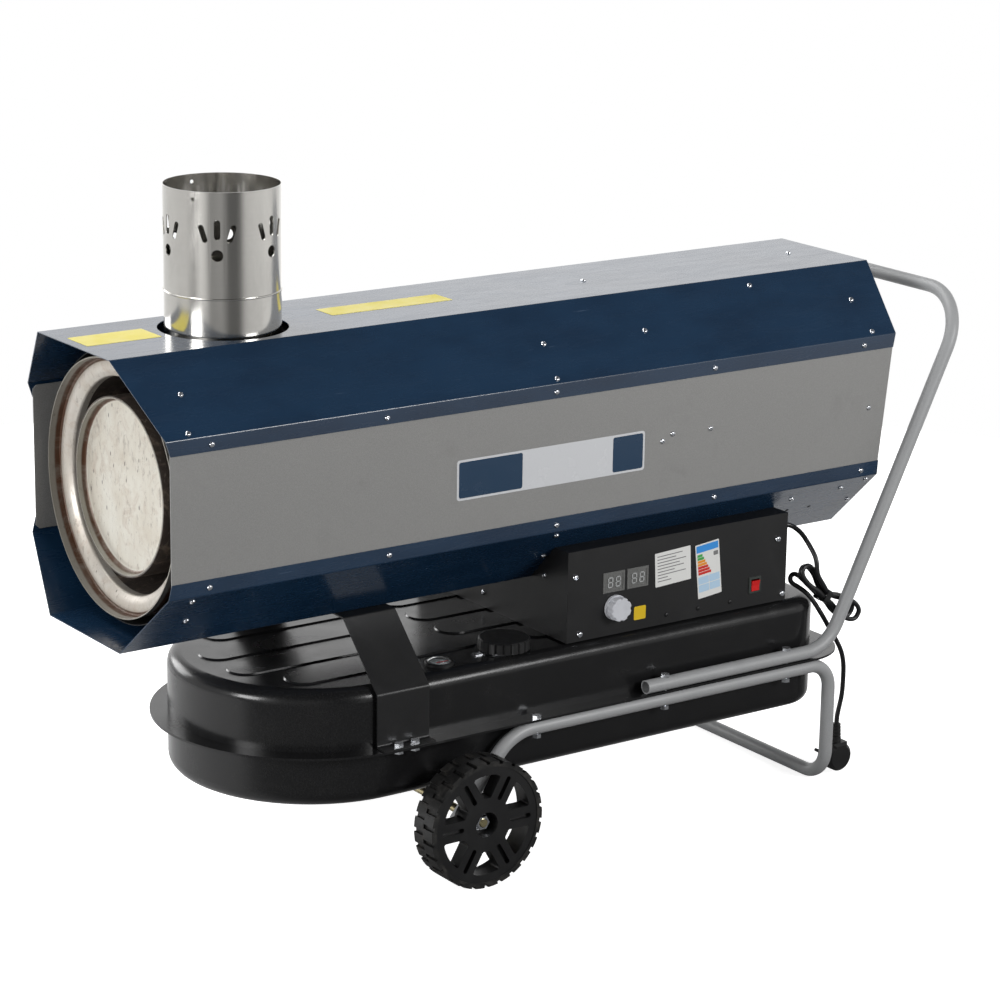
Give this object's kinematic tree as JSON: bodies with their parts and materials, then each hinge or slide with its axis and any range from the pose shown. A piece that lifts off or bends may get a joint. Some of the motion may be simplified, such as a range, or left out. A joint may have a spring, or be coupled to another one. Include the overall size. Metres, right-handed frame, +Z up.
{
  "type": "indirect diesel heater",
  "caption": "Wheeled indirect diesel heater with an eight-sided sheet casing, a flue, a dished outlet, a fuel tank, a control panel and a push handle.",
  "frame": {"origin": "on the floor under the middle of the object's box, without the mains cord", "axes": "+Z up, +X from the hot air outlet towards the push handle, -Y towards the control panel"},
  "size_m": [1.3135, 0.538, 0.911],
  "materials": {
    "blue_paint": "glossy enamel",
    "grey_paint": "fine-grained coating",
    "dark_duct": "satin",
    "heat_steel": "plain sheet",
    "flue_steel": "bright sheet",
    "burner_steel": "plain",
    "pump_metal": "cast",
    "copper_pipe": "drawn",
    "motor_paint": "satin",
    "fan_metal": "pressed",
    "sensor_metal": "plain",
    "black_paint": "satin",
    "display_plastic": "glossy",
    "knob_plastic": "matt",
    "black_plastic": "moulded",
    "red_plastic": "glossy",
    "transformer_iron": "satin",
    "board_green": "laminate",
    "zinc_steel": "zinc plated",
    "clear_lens": "clear",
    "pointer_red": "plain",
    "float_plastic": "moulded",
    "grey_tube": "satin",
    "tyre_rubber": "moulded",
    "cord_rubber": "satin"
  },
  "bodies": {
    "chassis": {"upper_shell": "blue_paint", "lower_shell": "blue_paint", "side_panel_left": "grey_paint", "side_panel_right": "grey_paint", "inner_duct": "dark_duct", "duct_cradles": "dark_duct", "outlet_ring": "heat_steel", "exchanger_jacket": "heat_steel", "jacket_spacers": "heat_steel", "combustion_chamber": "heat_steel", "chamber_end_cap": "heat_steel", "transfer_ducts": "heat_steel", "flue_collar": "flue_steel", "flue_sleeve": "flue_steel", "burner_head": "burner_steel", "flame_disc": "burner_steel", "burner_nozzle": "burner_steel", "fuel_pump": "pump_metal", "fuel_pipe": "copper_pipe", "suction_pipe": "copper_pipe", "motor": "motor_paint", "motor_stand": "dark_duct", "fan_shroud": "dark_duct", "fan_guard": "dark_duct", "overheat_thermostat": "sensor_metal", "control_box": "black_paint", "control_panel": "black_paint", "number_displays": "display_plastic", "thermostat_body": "black_plastic", "switch_housing": "black_plastic", "ignition_transformer": "transformer_iron", "circuit_board": "board_green", "cord_gland": "black_plastic", "tank_lower": "black_paint", "tank_upper": "black_paint", "filler_neck": "zinc_steel", "gauge_body": "black_plastic", "gauge_lens": "clear_lens", "drain_plug": "black_plastic", "strap_saddle": "black_paint", "lower_frame": "grey_tube", "handle": "grey_tube", "frame_bolts": "zinc_steel", "axle": "zinc_steel", "axle_hardware": "zinc_steel", "mains_cord": "cord_rubber", "cord_hank": "cord_rubber", "cord_tail": "cord_rubber", "hank_tie": "black_plastic", "mains_plug": "black_plastic"},
    "fan": {"fan_impeller": "fan_metal"},
    "knob": {"thermostat_knob": "knob_plastic"},
    "rocker": {"rocker": "red_plastic"},
    "fuel_cap": {"fuel_cap": "black_plastic"},
    "float": {"gauge_float": "float_plastic"},
    "pointer": {"gauge_pointer": "pointer_red"},
    "wheel_left": {"hub_left": "black_plastic", "tyre_left": "tyre_rubber"},
    "wheel_right": {"hub_right": "black_plastic", "tyre_right": "tyre_rubber"}
  },
  "joints": [
    {"name": "wheel_left_spin", "type": "hinge", "parent": "chassis", "child": "wheel_left", "pos_m": [-0.20875, -0.248, 0.087], "axis": [0, 1, 0], "continuous": true},
    {"name": "wheel_right_spin", "type": "hinge", "parent": "chassis", "child": "wheel_right", "pos_m": [-0.20875, 0.248, 0.087], "axis": [0, 1, 0], "continuous": true},
    {"name": "fan_spin", "type": "hinge", "parent": "chassis", "child": "fan", "pos_m": [0.44125, 0, 0.536], "axis": [1, 0, 0], "continuous": true},
    {"name": "knob_turn", "type": "hinge", "parent": "chassis", "child": "knob", "pos_m": [0.05725, -0.18, 0.316], "axis": [0, 1, 0], "range_deg": [-150, 150]},
    {"name": "rocker_tilt", "type": "hinge", "parent": "chassis", "child": "rocker", "pos_m": [0.30025, -0.178, 0.308], "axis": [-1, 0, 0], "range_deg": [0, 14]},
    {"name": "fuel_cap_turn", "type": "hinge", "parent": "chassis", "child": "fuel_cap", "pos_m": [-0.10175, -0.148, 0.285], "axis": [0, 0, 1], "range_deg": [0, 360]},
    {"name": "float_swing", "type": "hinge", "parent": "chassis", "child": "float", "pos_m": [-0.20875, -0.153, 0.2025], "axis": [1, 0, 0], "range_deg": [-25, 25]},
    {"name": "pointer_turn", "type": "hinge", "parent": "chassis", "child": "pointer", "pos_m": [-0.20875, -0.153, 0.277], "axis": [0, 0, 1], "range_deg": [-60, 60]}
  ],
  "couplings": [
    {"joint": "pointer_turn", "follows": "float_swing", "ratio": 2.4}
  ]
}
